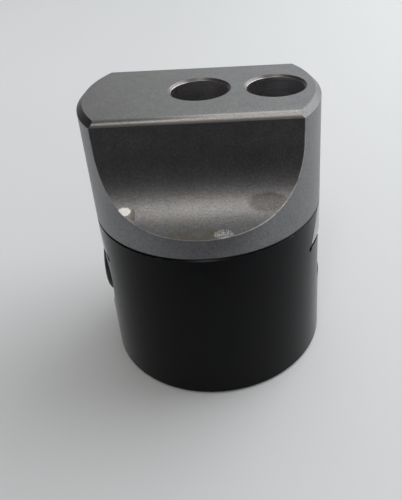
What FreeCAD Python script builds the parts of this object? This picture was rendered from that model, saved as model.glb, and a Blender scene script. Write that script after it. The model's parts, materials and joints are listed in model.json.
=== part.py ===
import FreeCAD, Part
import math
import os
import re
import Sketcher

# An adjustable boring head: a round body with a dovetail way, and a tool slide that a graduated
# screw moves across it.  Origin: centre of the body's lower face.  +Z: up, along the spindle axis.
# +X: the way that the tool slide moves out.  The gib and all clamping screws are on the +Y side.

# Sizes that can be set by themselves, in millimetres (degrees for the one angle).
SIZES = {
    # the head as a whole
    "head_diameter": 50.0,
    "body_height": 37.0,
    "slide_height": 25.3,
    "slide_travel": 15.0,
    # broken edges
    "base_chamfer": 0.7,
    "joint_chamfer": 0.3,
    "crown_chamfer": 1.2,
    # flats and scoops at the front and the back of the slide
    "front_flat_cut": 10.4,
    "back_flat_cut": 11.2,
    "flat_straight": 5.6,
    "flat_edge_radius": 1.3,
    "scoop_radius": 16.1,
    # bores for the boring bars
    "tool_bore_diameter": 12.0,
    "tool_bore_wall": 3.3,
    "tool_bore_floor": 1.0,
    "tool_bore_chamfer": 0.5,
    # dovetail way and gib
    "tongue_neck": 14.6,
    "tongue_depth": 7.5,
    "slot_floor_gap": 0.5,
    "flank_angle": 60.0,
    "way_clearance": 0.02,
    "corner_relief_radius": 0.65,
    "gib_width": 3.2,
    "gib_length": 38.0,
    "gib_floor_gap": 0.15,
    "gib_top_gap": 0.35,
    # how far a cut runs past the face that it opens
    "overcut": 1.0,
    # clearances
    "static_gap": 0.01,
    "running_gap": 0.03,
    "axial_play": 0.05,
    # lead screw
    "lead_drop": 6.6,
    "lead_diameter": 6.0,
    "lead_end_length": 1.5,
    "lead_end_chamfer": 0.6,
    "journal_diameter": 7.0,
    "lead_head_diameter": 11.0,
    "lead_socket_width": 4.0,
    "lead_socket_depth": 4.5,
    # dial
    "dial_inset": 0.8,
    "dial_diameter": 17.3,
    "dial_thickness": 3.2,
    "dial_edge": 0.35,
    "dial_pocket_diameter": 23.0,
    "dial_pocket_depth": 4.5,
    "dial_relief": 0.7,
    "dial_screw_diameter": 2.0,
    "dial_screw_recess": 0.5,
    "dial_screw_socket": 0.9,
    # bush, washers and ring that hold the lead screw
    "bush_length": 7.5,
    "bush_wall": 1.25,
    "outer_washer_diameter": 15.0,
    "outer_washer_thickness": 0.4,
    "inner_washer_diameter": 10.4,
    "inner_washer_thickness": 0.8,
    "wave_washer_thickness": 0.5,
    "ring_diameter": 9.8,
    "ring_thickness": 0.8,
    "ring_groove_depth": 0.6,
    "ring_opening": 4.0,
    "journal_land": 0.25,
    # nut
    "nut_diameter": 12.0,
    "nut_gap": 1.5,
    "nut_below_screw": 5.0,
    "nut_roof": 1.5,
    "nut_edge": 0.4,
    "channel_side_gap": 0.35,
    "channel_floor_gap": 0.5,
    "nut_pin_diameter": 2.5,
    "nut_pin_inset": 0.9,
    "nut_pin_bite": 4.0,
    # threaded bore for the arbor
    "arbor_bore_diameter": 20.9,
    "arbor_register_diameter": 22.6,
    "arbor_register_depth": 2.0,
    "arbor_relief_diameter": 23.0,
    "arbor_relief_width": 1.6,
    "arbor_roof": 2.4,
    "arbor_chamfer": 0.6,
    # screws in the back of the body
    "gib_screw_diameter": 5.0,
    "gib_screw_spacing": 24.0,
    "gib_screw_socket": 2.5,
    "gib_dog_diameter": 2.5,
    "gib_dog_bite": 0.6,
    "gib_dog_clearance": 0.15,
    "lock_screw_diameter": 6.0,
    "lock_screw_length": 7.0,
    "lock_screw_socket": 3.0,
    "lock_pad_gap": 0.3,
    "screw_recess": 0.8,
    "screw_edge": 0.4,
    "arbor_screw_diameter": 5.0,
    "arbor_screw_length": 8.0,
    "arbor_screw_height": 7.5,
    "arbor_screw_socket": 2.5,
    "arbor_pad_length": 4.0,
    "arbor_pad_inset": 0.45,
    # screws that clamp the boring bars
    "tool_screw_diameter": 6.0,
    "tool_screw_length": 7.0,
    "tool_screw_height": 14.5,
    "tool_screw_inset": 0.45,
    "tool_screw_socket": 3.0,
    "tool_screw_spotface": 7.6,
}

# Places and sizes worked out from the sizes above.
PLACES = {
    "head_radius": "head_diameter / 2",
    "beyond": "head_diameter / 2 + overcut",
    "head_top": "body_height + slide_height",
    "flank_run": "1 / tan(flank_angle * 1 deg)",
    # flats
    "front_flat_y": "head_radius - front_flat_cut",
    "back_flat_y": "head_radius - back_flat_cut",
    "scoop_top": "head_top - flat_straight",
    # bores
    "tool_bore_radius": "tool_bore_diameter / 2",
    "tool_bore_end": "body_height + tool_bore_floor",
    "offset_bore_x": "head_radius - tool_bore_wall - tool_bore_radius",
    # dovetail, in a plane across the slide
    "shoulder_z": "body_height + way_clearance",
    "tongue_bottom": "body_height - tongue_depth",
    "slot_floor": "tongue_bottom - slot_floor_gap",
    "tongue_half_top": "tongue_neck / 2",
    "tongue_half_bottom": "tongue_half_top + tongue_depth * flank_run",
    "slot_front_top": "tongue_half_top + way_clearance",
    "slot_run": "(body_height - slot_floor) * flank_run",
    "gib_inner_top": "tongue_half_top + way_clearance",
    "gib_outer_top": "gib_inner_top + gib_width",
    "slot_back_top": "gib_outer_top + way_clearance",
    "gib_bottom": "slot_floor + gib_floor_gap",
    "gib_top": "body_height - gib_top_gap",
    # lead screw line; "reach" counts from the dial's side of the cylinder inwards
    "lead_z": "slot_floor - lead_drop",
    "dial_back": "dial_inset + dial_thickness",
    "channel_reach": "dial_pocket_depth + bush_length",
    "inner_washer_reach": "channel_reach + axial_play",
    "wave_washer_reach": "inner_washer_reach + inner_washer_thickness + axial_play",
    "ring_reach": "wave_washer_reach + wave_washer_thickness + axial_play",
    "ring_end": "ring_reach + ring_thickness",
    "journal_end": "ring_end + journal_land",
    "nut_reach": "journal_end + nut_gap - journal_land + nut_diameter / 2",
    "lead_reach": "nut_reach + slide_travel + nut_diameter / 2 + lead_end_length",
    "journal_hole": "journal_diameter + 2 * running_gap",
    "nut_x": "nut_reach - head_radius",
    "nut_top": "body_height - nut_roof",
    "nut_bottom": "lead_z - nut_below_screw",
    "channel_floor": "nut_bottom - channel_floor_gap",
    "channel_half": "nut_diameter / 2 + channel_side_gap",
    "nut_pin_z": "(tongue_bottom + nut_top) / 2",
    "tongue_half_at_pin": "tongue_half_top + (body_height - nut_pin_z) * flank_run",
    "nut_pin_start": "-tongue_half_at_pin + nut_pin_diameter / 2 * flank_run + nut_pin_inset",
    "nut_pin_length": "-nut_diameter / 2 - nut_pin_start + nut_pin_bite",
    # arbor bore
    "arbor_depth": "channel_floor - arbor_roof",
    "arbor_screw_hole_end": "arbor_bore_diameter / 4",
    # screws in the back of the body
    "gib_screw_z": "(slot_floor + body_height) / 2",
    "gib_back_y": "gib_outer_top + (body_height - gib_screw_z) * flank_run",
    "gib_screw_x": "gib_screw_spacing / 2",
    "gib_screw_far_x": "gib_screw_x + gib_screw_diameter / 2",
    "gib_screw_end": "sqrt(head_radius^2 - gib_screw_far_x^2) - screw_recess / 2",
    "gib_screw_start": "gib_back_y + gib_screw_diameter / 2 * flank_run + gib_dog_clearance",
    "gib_dog_start": "gib_back_y - gib_dog_bite",
    "lock_screw_end": "head_radius - screw_recess",
    "lock_screw_start": "lock_screw_end - lock_screw_length",
    "lock_pad_start": "gib_back_y + lock_pad_gap",
    "arbor_pad_start": "arbor_bore_diameter / 2 + arbor_pad_inset",
    "arbor_screw_start": "arbor_pad_start + arbor_pad_length + axial_play",
    # screws in the back of the slide
    "tool_screw_z": "body_height + tool_screw_height",
    "tool_screw_start": "tool_bore_radius + tool_screw_inset",
    "tool_screw_end": "tool_screw_start + tool_screw_length",
}

TIP_UP_X = FreeCAD.Rotation(FreeCAD.Vector(0, 1, 0), 90)    # own +Z laid along the head's +X
TIP_UP_Y = FreeCAD.Rotation(FreeCAD.Vector(1, 0, 0), -90)   # own +Z laid along the head's +Y
SAME_SPOT = 1e-6

document = FreeCAD.newDocument("boring_head")
owner = {}


# ---- sheets and expressions

def linked(expression):
    """An expression with each size's name made into a link to the sheet that holds it."""
    def link(found):
        name = found[0]
        return f"{owner[name]}.{name}" if name in owner else name

    return re.sub(r"[a-z]\w+", link, expression)


def fill_sheet(name, contents):
    """A sheet with a named cell for each number, or for each expression on cells already named."""
    sheet = document.addObject("Spreadsheet::Sheet", name)
    for row, (alias, content) in enumerate(contents.items(), start=1):
        if isinstance(content, str):
            content = "=" + linked(content).replace(f"{name}.", "")
        sheet.set(f"A{row}", alias)
        sheet.set(f"B{row}", str(content))
        sheet.setAlias(f"B{row}", alias)
        owner[alias] = name
    document.recompute()
    return sheet


fill_sheet("Sizes", SIZES)
places = fill_sheet("Places", PLACES)


def number(expression):
    """What an expression on the sizes comes to now."""
    found = places.evalExpression(linked(expression).replace("Places.", ""))
    return float(getattr(found, "Value", found))


# ---- sketches

def sketch(piece, name, role, offset="0"):
    """A sketch on one of the piece's own origin planes, moved along that plane's normal."""
    made = piece.newObject("Sketcher::SketchObject", f"{piece.Name}_{name}")
    plane = next(feature for feature in piece.Origin.OriginFeatures if feature.Role == role)
    made.AttachmentSupport = (plane, [""])
    made.MapMode = "FlatFace"
    if offset != "0":
        made.setExpression("AttachmentOffset.Base.z", linked(offset))
    return made


def pin(made, geometry, point, across, up):
    """Ties one point of a sketch to its two places."""
    for kind, axis, place in (("DistanceX", -2, across), ("DistanceY", -1, up)):
        if abs(number(place)) < SAME_SPOT:
            made.addConstraint(Sketcher.Constraint("PointOnObject", geometry, point, axis))
        else:
            index = made.addConstraint(Sketcher.Constraint(kind, -1, 1, geometry, point, number(place)))
            made.setExpression(f"Constraints[{index}]", linked(place))


def outline(made, corners):
    """A closed outline through corners (across, up), or (across, up, centre across, centre up)
    where an arc about that centre leads from this corner to the next."""
    spots = [FreeCAD.Vector(number(corner[0]), number(corner[1]), 0) for corner in corners]
    first = made.GeometryCount
    joints = []
    for place, corner in enumerate(corners):
        begin, end = spots[place], spots[(place + 1) % len(spots)]
        if len(corner) == 2:
            made.addGeometry(Part.LineSegment(begin, end), False)
            joints.append((1, 2))
            continue
        centre = FreeCAD.Vector(number(corner[2]), number(corner[3]), 0)
        start_angle = math.atan2(begin.y - centre.y, begin.x - centre.x)
        end_angle = math.atan2(end.y - centre.y, end.x - centre.x)
        turns_left = (end_angle - start_angle) % (2 * math.pi) < math.pi
        circle = Part.Circle(centre, FreeCAD.Vector(0, 0, 1), (begin - centre).Length)
        angles = (start_angle, end_angle) if turns_left else (end_angle, start_angle)
        index = made.addGeometry(Part.ArcOfCircle(circle, *angles), False)
        size = made.addConstraint(Sketcher.Constraint("Radius", index, circle.Radius))
        made.setExpression(f"Constraints[{size}]", linked(f"abs({corner[2]} - ({corner[0]})) + "
                                                          f"abs({corner[3]} - ({corner[1]}))"))
        joints.append((1, 2) if turns_left else (2, 1))
    for place, corner in enumerate(corners):
        following = (place + 1) % len(corners)
        made.addConstraint(Sketcher.Constraint("Coincident", first + place, joints[place][1],
                                               first + following, joints[following][0]))
        pin(made, first + place, joints[place][0], corner[0], corner[1])


def circle(made, across, up, radius):
    spot = FreeCAD.Vector(number(across), number(up), 0)
    index = made.addGeometry(Part.Circle(spot, FreeCAD.Vector(0, 0, 1), number(radius)), False)
    pin(made, index, 3, across, up)
    size = made.addConstraint(Sketcher.Constraint("Radius", index, number(radius)))
    made.setExpression(f"Constraints[{size}]", linked(radius))


def hexagon(made, width):
    """A hexagon about the sketch's origin, with two corners on its first axis."""
    corner = f"({width}) / 2 / cos(30 deg)"
    half_flat = f"({width}) / 2"
    outline(made, [
        (corner, "0"), (f"{corner} / 2", half_flat), (f"-{corner} / 2", half_flat),
        (f"-{corner}", "0"), (f"-{corner} / 2", f"-{half_flat}"), (f"{corner} / 2", f"-{half_flat}")])


# ---- features

def new_piece(label):
    piece = document.addObject("PartDesign::Body", label)
    piece.Label = label
    return piece


def check_growth(piece, feature, before, grows):
    """Stops where a feature added or cut nothing, as one that points the wrong way does."""
    document.recompute()
    after = feature.Shape.Volume
    if (after - before) * (1 if grows else -1) < SAME_SPOT:
        raise RuntimeError(f"{feature.Name} of {piece.Label} changed nothing: {before} to {after}")


def volume_of(piece):
    return piece.Tip.Shape.Volume if piece.Tip else 0.0


def pad(piece, made, length):
    before = volume_of(piece)
    feature = piece.newObject("PartDesign::Pad", f"{made.Name}_pad")
    feature.Profile = (made, [""])
    feature.setExpression("Length", linked(length))
    check_growth(piece, feature, before, True)


def pocket(piece, made, length, along_normal=True):
    before = volume_of(piece)
    feature = piece.newObject("PartDesign::Pocket", f"{made.Name}_pocket")
    feature.Profile = (made, [""])
    feature.Reversed = along_normal
    feature.setExpression("Length", linked(length))
    check_growth(piece, feature, before, False)


def revolve(piece, made):
    before = volume_of(piece)
    feature = piece.newObject("PartDesign::Revolution", f"{made.Name}_turned")
    feature.Profile = (made, [""])
    feature.ReferenceAxis = (made, ["V_Axis"])
    feature.Angle = 360
    check_growth(piece, feature, before, True)


def chamfer(piece, name, size, is_wanted):
    """Chamfers those edges of the piece that the test picks out."""
    base = piece.Tip
    names = [f"Edge{place}" for place, edge in enumerate(base.Shape.Edges, start=1) if is_wanted(edge)]
    if not names:
        raise RuntimeError(f"no edge found for {name} of {piece.Label}")
    before = volume_of(piece)
    feature = piece.newObject("PartDesign::Chamfer", f"{piece.Name}_{name}")
    feature.Base = (base, names)
    feature.setExpression("Size", linked(size))
    check_growth(piece, feature, before, False)


def is_circle_at(edge, radius, up):
    """Whether an edge is a circle of this radius, about an upright axis, at this height."""
    curve = edge.Curve
    return (isinstance(curve, Part.Circle) and abs(curve.Radius - number(radius)) < SAME_SPOT
            and abs(curve.Center.z - number(up)) < SAME_SPOT)


def turned(label, corners):
    """A piece turned about its own Z axis from (radius, height) corners."""
    piece = new_piece(label)
    profile = sketch(piece, "profile", "XZ_Plane")
    outline(profile, corners)
    revolve(piece, profile)
    return piece


def hex_socket(piece, width, end, depth):
    """A hexagon socket that opens at the piece's upper end."""
    hexagonal = sketch(piece, "socket", "XY_Plane", f"{end} - {depth}")
    hexagon(hexagonal, width)
    pocket(piece, hexagonal, f"{depth} + overcut")


def place_piece(piece, across, along, up, rotation=None):
    piece.Placement = FreeCAD.Placement(FreeCAD.Vector(), rotation or FreeCAD.Rotation())
    for axis, place in (("x", across), ("y", along), ("z", up)):
        piece.setExpression(f"Placement.Base.{axis}", linked(place))


def on_lead_line(piece):
    """Lays a turned piece on the lead screw's line: its height becomes reach from the dial's side."""
    place_piece(piece, "-head_radius", "0", "lead_z", TIP_UP_X)


def ring(label, hole, outside, start, thickness):
    """A plain ring on the lead screw's line."""
    piece = turned(label, [(hole, start), (outside, start), (outside, f"{start} + {thickness}"),
                           (hole, f"{start} + {thickness}")])
    on_lead_line(piece)
    return piece


# ---- the body and the slide

def make_body():
    piece = new_piece("body")
    profile = sketch(piece, "profile", "XZ_Plane")
    outline(profile, [
        ("arbor_register_diameter / 2 + arbor_chamfer", "0"),
        ("head_radius - base_chamfer", "0"),
        ("head_radius", "base_chamfer"),
        ("head_radius", "body_height - joint_chamfer"),
        ("head_radius - joint_chamfer", "body_height"),
        ("0", "body_height"),
        ("0", "arbor_depth"),
        ("arbor_relief_diameter / 2", "arbor_depth"),
        ("arbor_relief_diameter / 2", "arbor_depth - arbor_relief_width"),
        ("arbor_bore_diameter / 2", "arbor_depth - arbor_relief_width"),
        ("arbor_bore_diameter / 2", "arbor_register_depth"),
        ("arbor_register_diameter / 2", "arbor_register_depth"),
        ("arbor_register_diameter / 2", "arbor_chamfer"),
    ])
    revolve(piece, profile)

    slot = sketch(piece, "slot", "YZ_Plane", "-beyond")
    outline(slot, [
        ("-slot_front_top", "body_height"),
        ("-slot_front_top - slot_run", "slot_floor"),
        ("slot_back_top + slot_run", "slot_floor"),
        ("slot_back_top", "body_height"),
    ])
    pocket(piece, slot, "2 * beyond")

    for side, corner in (("front", "-slot_front_top - slot_run"), ("back", "slot_back_top + slot_run")):
        relief = sketch(piece, f"{side}_relief", "YZ_Plane", "-beyond")
        circle(relief, corner, "slot_floor", "corner_relief_radius")
        pocket(piece, relief, "2 * beyond")

    channel = sketch(piece, "channel", "YZ_Plane", "channel_reach - head_radius")
    outline(channel, [
        ("-channel_half", "channel_floor"), ("channel_half", "channel_floor"),
        ("channel_half", "slot_floor"), ("-channel_half", "slot_floor"),
    ])
    pocket(piece, channel, "2 * beyond - channel_reach")

    dial_pocket = sketch(piece, "dial_pocket", "YZ_Plane", "-beyond")
    circle(dial_pocket, "0", "lead_z", "dial_pocket_diameter / 2")
    pocket(piece, dial_pocket, "dial_pocket_depth + beyond - head_radius")

    bush_hole = sketch(piece, "bush_hole", "YZ_Plane", "-beyond")
    circle(bush_hole, "0", "lead_z", "journal_hole / 2 + bush_wall + static_gap")
    pocket(piece, bush_hole, "channel_reach + overcut + beyond - head_radius")

    for name, across, up, size, end in (
            ("left_gib_hole", "-gib_screw_x", "gib_screw_z", "gib_screw_diameter", "gib_inner_top"),
            ("right_gib_hole", "gib_screw_x", "gib_screw_z", "gib_screw_diameter", "gib_inner_top"),
            ("lock_hole", "0", "gib_screw_z", "lock_screw_diameter", "gib_inner_top"),
            ("arbor_screw_hole", "0", "arbor_screw_height", "arbor_screw_diameter", "arbor_screw_hole_end")):
        hole = sketch(piece, name, "XZ_Plane", "-beyond")
        circle(hole, across, up, f"{size} / 2 + running_gap")
        pocket(piece, hole, f"beyond - {end}")


def make_tool_slide():
    piece = new_piece("tool_slide")
    profile = sketch(piece, "profile", "XZ_Plane")
    outline(profile, [
        ("0", "tongue_bottom"),
        ("head_radius - joint_chamfer", "tongue_bottom"),
        ("head_radius", "tongue_bottom + joint_chamfer"),
        ("head_radius", "shoulder_z"),
        ("head_radius - joint_chamfer", "shoulder_z"),
        ("head_radius", "shoulder_z + joint_chamfer"),
        ("head_radius", "head_top - crown_chamfer"),
        ("head_radius - crown_chamfer", "head_top"),
        ("0", "head_top"),
    ])
    revolve(piece, profile)

    for side, sign in (("front", "-1"), ("back", "1")):
        waste = sketch(piece, f"{side}_waste", "YZ_Plane", "-beyond")
        outline(waste, [
            (f"{sign} * tongue_half_top", "shoulder_z"),
            (f"{sign} * tongue_half_top", "body_height"),
            (f"{sign} * tongue_half_bottom", "tongue_bottom"),
            (f"{sign} * beyond", "tongue_bottom"),
            (f"{sign} * beyond", "shoulder_z"),
        ])
        pocket(piece, waste, "2 * beyond")

        flat = f"{side}_flat_y"
        scoop = sketch(piece, f"{side}_scoop", "YZ_Plane", "-beyond")
        outline(scoop, [
            (f"{sign} * ({flat} - flat_edge_radius)", "head_top",
             f"{sign} * ({flat} - flat_edge_radius)", "head_top - flat_edge_radius"),
            (f"{sign} * {flat}", "head_top - flat_edge_radius"),
            (f"{sign} * {flat}", "scoop_top", f"{sign} * ({flat} + scoop_radius)", "scoop_top"),
            (f"{sign} * ({flat} + scoop_radius)", "scoop_top - scoop_radius"),
            (f"{sign} * ({flat} + scoop_radius)", "head_top + overcut"),
            (f"{sign} * ({flat} - flat_edge_radius)", "head_top + overcut"),
        ])
        pocket(piece, scoop, "2 * beyond")

    for name, across in (("centre_bore", "0"), ("offset_bore", "offset_bore_x")):
        bore = sketch(piece, name, "XY_Plane", "tool_bore_end")
        circle(bore, across, "0", "tool_bore_radius")
        pocket(piece, bore, "slide_height + overcut")
    chamfer(piece, "bore_mouths", "tool_bore_chamfer",
            lambda edge: is_circle_at(edge, "tool_bore_radius", "head_top"))

    relief = sketch(piece, "dial_relief", "YZ_Plane", "-beyond")
    circle(relief, "0", "lead_z", "dial_diameter / 2 + dial_relief")
    pocket(piece, relief, "dial_pocket_depth + dial_relief + beyond - head_radius")

    nut_hole = sketch(piece, "nut_hole", "XY_Plane", "tongue_bottom - overcut")
    circle(nut_hole, "nut_x", "0", "nut_diameter / 2 + static_gap")
    pocket(piece, nut_hole, "nut_top + static_gap - tongue_bottom + overcut")

    pin_hole = sketch(piece, "pin_hole", "XZ_Plane", "0")
    circle(pin_hole, "nut_x", "nut_pin_z", "nut_pin_diameter / 2 + static_gap")
    pocket(piece, pin_hole, "beyond")

    for name, across in (("centre", "0"), ("offset", "offset_bore_x")):
        hole = sketch(piece, f"{name}_screw_hole", "XZ_Plane", "-beyond")
        circle(hole, across, "tool_screw_z", "tool_screw_diameter / 2 + running_gap")
        pocket(piece, hole, "beyond")
        spotface = sketch(piece, f"{name}_spotface", "XZ_Plane", "-beyond")
        circle(spotface, across, "tool_screw_z", "tool_screw_spotface / 2")
        pocket(piece, spotface, "beyond - tool_screw_end - screw_edge")


def make_gib():
    piece = new_piece("gib")
    section = sketch(piece, "section", "YZ_Plane", "-gib_length / 2")
    drop_top = "(body_height - gib_top) * flank_run"
    drop_bottom = "(body_height - gib_bottom) * flank_run"
    outline(section, [
        (f"gib_inner_top + {drop_top}", "gib_top"),
        (f"gib_inner_top + {drop_bottom}", "gib_bottom"),
        (f"gib_outer_top + {drop_bottom}", "gib_bottom"),
        (f"gib_outer_top + {drop_top}", "gib_top"),
    ])
    pad(piece, section, "gib_length")
    for side, across in (("left", "-gib_screw_x"), ("right", "gib_screw_x")):
        dimple = sketch(piece, f"{side}_dimple", "XZ_Plane", "-beyond")
        circle(dimple, across, "gib_screw_z", "gib_dog_diameter / 2 + gib_dog_clearance")
        pocket(piece, dimple, "beyond - gib_dog_start + gib_dog_clearance")


# ---- the lead screw and what holds it

def make_lead_screw():
    piece = turned("lead_screw", [
        ("0", "dial_inset"),
        ("lead_head_diameter / 2 - dial_edge", "dial_inset"),
        ("lead_head_diameter / 2", "dial_inset + dial_edge"),
        ("lead_head_diameter / 2", "dial_back"),
        ("journal_diameter / 2", "dial_back"),
        ("journal_diameter / 2", "ring_reach - axial_play"),
        ("journal_diameter / 2 - ring_groove_depth", "ring_reach - axial_play"),
        ("journal_diameter / 2 - ring_groove_depth", "ring_end + axial_play"),
        ("journal_diameter / 2", "ring_end + axial_play"),
        ("journal_diameter / 2", "journal_end"),
        ("lead_diameter / 2", "journal_end + (journal_diameter - lead_diameter) / 2"),
        ("lead_diameter / 2", "lead_reach - lead_end_chamfer"),
        ("lead_diameter / 2 - lead_end_chamfer", "lead_reach"),
        ("0", "lead_reach"),
    ])
    socket = sketch(piece, "socket", "XY_Plane", "dial_inset - overcut")
    hexagon(socket, "lead_socket_width")
    pocket(piece, socket, "lead_socket_depth + overcut")
    on_lead_line(piece)


def make_dial():
    hole = "lead_head_diameter / 2 + static_gap"
    piece = turned("dial", [
        (hole, "dial_inset"),
        ("dial_diameter / 2 - dial_edge", "dial_inset"),
        ("dial_diameter / 2", "dial_inset + dial_edge"),
        ("dial_diameter / 2", "dial_back - dial_edge"),
        ("dial_diameter / 2 - dial_edge", "dial_back"),
        (hole, "dial_back"),
    ])
    screw_hole = sketch(piece, "screw_hole", "YZ_Plane")
    circle(screw_hole, "0", "dial_inset + dial_thickness / 2", "dial_screw_diameter / 2 + static_gap")
    pocket(piece, screw_hole, "dial_diameter")
    on_lead_line(piece)


def make_dial_set_screw():
    start = "lead_head_diameter / 2 + axial_play"
    end = "dial_diameter / 2 - dial_screw_recess"
    piece = turned("dial_set_screw", [
        ("0", start), ("dial_screw_diameter / 2", start), ("dial_screw_diameter / 2", end), ("0", end)])
    hex_socket(piece, "dial_screw_socket", end, "dial_screw_diameter / 2")
    place_piece(piece, "dial_inset + dial_thickness / 2 - head_radius", "0", "lead_z",
                FreeCAD.Rotation(FreeCAD.Vector(1, 0, 0), 180))


def make_bush_and_washers():
    journal = "journal_hole / 2"
    ring("lead_screw_bush", journal, f"{journal} + bush_wall", "dial_pocket_depth", "bush_length")
    ring("outer_thrust_washer", journal, "outer_washer_diameter / 2",
         "dial_pocket_depth - axial_play - outer_washer_thickness", "outer_washer_thickness")
    ring("inner_thrust_washer", journal, "inner_washer_diameter / 2", "inner_washer_reach",
         "inner_washer_thickness")
    ring("wave_washer", journal, "inner_washer_diameter / 2 - running_gap", "wave_washer_reach",
         "wave_washer_thickness")


def make_retaining_ring():
    """A snap ring: its open side faces down, away from the slide."""
    piece = ring("retaining_ring", "journal_diameter / 2 - ring_groove_depth + static_gap",
                 "ring_diameter / 2", "ring_reach", "ring_thickness")
    opening = sketch(piece, "opening", "XY_Plane", "ring_reach - overcut")
    outline(opening, [("0", "-ring_opening / 2"), ("ring_diameter", "-ring_opening / 2"),
                      ("ring_diameter", "ring_opening / 2"), ("0", "ring_opening / 2")])
    pocket(piece, opening, "ring_thickness + 2 * overcut")


def make_lead_nut():
    """A round post in the slide's tongue, tapped across for the lead screw."""
    piece = turned("lead_nut", [
        ("0", "nut_bottom"),
        ("nut_diameter / 2 - nut_edge", "nut_bottom"),
        ("nut_diameter / 2", "nut_bottom + nut_edge"),
        ("nut_diameter / 2", "nut_top - nut_edge"),
        ("nut_diameter / 2 - nut_edge", "nut_top"),
        ("0", "nut_top"),
    ])
    thread = sketch(piece, "thread", "YZ_Plane", "-nut_diameter")
    circle(thread, "0", "lead_z", "lead_diameter / 2 + running_gap")
    pocket(piece, thread, "2 * nut_diameter")
    pin_hole = sketch(piece, "pin_hole", "XZ_Plane", "nut_diameter / 2 - nut_pin_bite - static_gap")
    circle(pin_hole, "0", "nut_pin_z", "nut_pin_diameter / 2 + static_gap")
    pocket(piece, pin_hole, "nut_diameter")
    place_piece(piece, "nut_x", "0", "0")


def make_nut_pin():
    end = "nut_pin_diameter / 2"
    edge = "nut_edge / 2"
    piece = turned("nut_pin", [
        ("0", "0"), (f"{end} - {edge}", "0"), (end, edge), (end, f"nut_pin_length - {edge}"),
        (f"{end} - {edge}", "nut_pin_length"), ("0", "nut_pin_length")])
    place_piece(piece, "nut_x", "nut_pin_start", "nut_pin_z", TIP_UP_Y)


# ---- screws and pads

def set_screw(label, size, length, socket, across, start, up, dog=None):
    """A socket set screw along +Y, with its tip at start; dog is its point's (diameter, length)."""
    radius = f"{size} / 2"
    tip = [("0", "0"), (f"{radius} - screw_edge", "0"), (radius, "screw_edge")]
    if dog:
        dog_radius, dog_length = f"{dog[0]} / 2", dog[1]
        tip = [("0", f"-({dog_length})"), (dog_radius, f"-({dog_length})"), (dog_radius, "0"), (radius, "0")]
    piece = turned(label, tip + [(radius, f"{length} - screw_edge"), (f"{radius} - screw_edge", length),
                                 ("0", length)])
    hex_socket(piece, socket, length, f"{size} / 2")
    place_piece(piece, across, start, up, TIP_UP_Y)
    return piece


def make_body_screws():
    for label, across in (("gib_screw_left", "-gib_screw_x"), ("gib_screw_right", "gib_screw_x")):
        set_screw(label, "gib_screw_diameter", "(gib_screw_end - gib_screw_start)", "gib_screw_socket",
                  across, "gib_screw_start", "gib_screw_z",
                  ("gib_dog_diameter", "gib_screw_start - gib_dog_start"))
    set_screw("slide_lock_screw", "lock_screw_diameter", "lock_screw_length", "lock_screw_socket",
              "0", "lock_screw_start", "gib_screw_z")
    set_screw("arbor_lock_screw", "arbor_screw_diameter", "arbor_screw_length", "arbor_screw_socket",
              "0", "arbor_screw_start", "arbor_screw_height")


def make_slide_lock_pad():
    """A round soft pad whose tip is cut to the slope of the gib's back."""
    piece = turned("slide_lock_pad", [
        ("0", "-lock_screw_diameter"), ("lock_screw_diameter / 2", "-lock_screw_diameter"),
        ("lock_screw_diameter / 2", "lock_screw_start - lock_pad_start - axial_play"),
        ("0", "lock_screw_start - lock_pad_start - axial_play")])
    # Laid along +Y, the pad's own -Y is up and its own Z is the head's Y.
    slope = sketch(piece, "slope", "YZ_Plane", "-lock_screw_diameter")
    half = "lock_screw_diameter"
    outline(slope, [
        (f"-{half}", f"-{half} * flank_run"), (half, f"{half} * flank_run"),
        (half, f"-2 * {half}"), (f"-{half}", f"-2 * {half}")])
    pocket(piece, slope, "2 * lock_screw_diameter")
    place_piece(piece, "0", "lock_pad_start", "gib_screw_z", TIP_UP_Y)


def make_arbor_lock_pad():
    radius = "arbor_screw_diameter / 2"
    piece = turned("arbor_lock_pad", [
        ("0", "0"), (f"{radius} - screw_edge", "0"), (radius, "screw_edge"),
        (radius, "arbor_pad_length"), ("0", "arbor_pad_length")])
    place_piece(piece, "0", "arbor_pad_start", "arbor_screw_height", TIP_UP_Y)


def make_tool_screws():
    for label, across in (("tool_screw_centre", "0"), ("tool_screw_offset", "offset_bore_x")):
        set_screw(label, "tool_screw_diameter", "tool_screw_length", "tool_screw_socket",
                  across, "tool_screw_start", "tool_screw_z")


# ---- checks and files

def is_node(item):
    return item.TypeId == "PartDesign::Body"


def check_document():
    for item in document.Objects:
        if "Invalid" in item.State or "Error" in item.State:
            raise RuntimeError(f"{item.Label} failed: {item.State}")
    for item in filter(is_node, document.Objects):
        if item.Shape.isNull() or not item.Shape.isValid() or len(item.Shape.Solids) != 1:
            raise RuntimeError(f"{item.Label} is not one valid solid")


def write_files():
    os.makedirs("parts", exist_ok=True)
    for item in filter(is_node, document.Objects):
        item.Shape.exportStep(f"parts/{item.Label}.step")
        print(f"{item.Label:22s} {item.Shape.Volume:10.2f} mm3")


make_body()
make_tool_slide()
make_gib()
make_lead_screw()
make_dial()
make_dial_set_screw()
make_bush_and_washers()
make_retaining_ring()
make_lead_nut()
make_nut_pin()
make_body_screws()
make_slide_lock_pad()
make_arbor_lock_pad()
make_tool_screws()
document.recompute()
check_document()
write_files()
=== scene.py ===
import json
import math

import bmesh
import bpy
from mathutils import Matrix, Vector


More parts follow.
